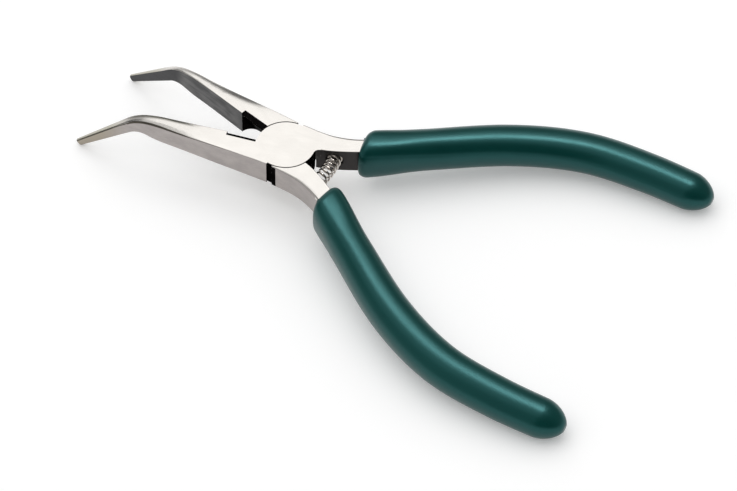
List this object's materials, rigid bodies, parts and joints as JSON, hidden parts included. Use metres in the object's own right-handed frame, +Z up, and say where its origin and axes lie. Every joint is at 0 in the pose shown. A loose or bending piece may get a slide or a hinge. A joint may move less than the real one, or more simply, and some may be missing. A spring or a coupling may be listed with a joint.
{
  "type": "bent needle nose pliers",
  "caption": "Small bent needle nose pliers with long tapering jaws, side cutters beside a lap joint, a return spring and dipped green handle grips.",
  "frame": {"origin": "under the middle of the tool, on the table that its tips and grips rest on", "axes": "+X along the tool from the jaws to the handles, +Y towards the handle of the upper half, +Z up from the table"},
  "size_m": [0.1304, 0.0766, 0.014],
  "materials": {
    "polished_steel": "satin polished",
    "rivet_steel": "satin",
    "spring_steel": "drawn wire",
    "green_vinyl": "satin dipped coating"
  },
  "bodies": {
    "upper": {"upper_half": "polished_steel", "pivot_rivet": "rivet_steel", "upper_grip": "green_vinyl", "return_spring": "spring_steel"},
    "lower": {"lower_half": "polished_steel", "lower_grip": "green_vinyl"}
  },
  "joints": [
    {"name": "pivot", "type": "hinge", "parent": "upper", "child": "lower", "pos_m": [-0.01825, 0, 0.00919], "axis": [0.0724, 0, 0.9974], "range_deg": [-10, 25.4], "stiffness_Nm_per_rad": 0.149, "deforming": ["return_spring"]}
  ]
}
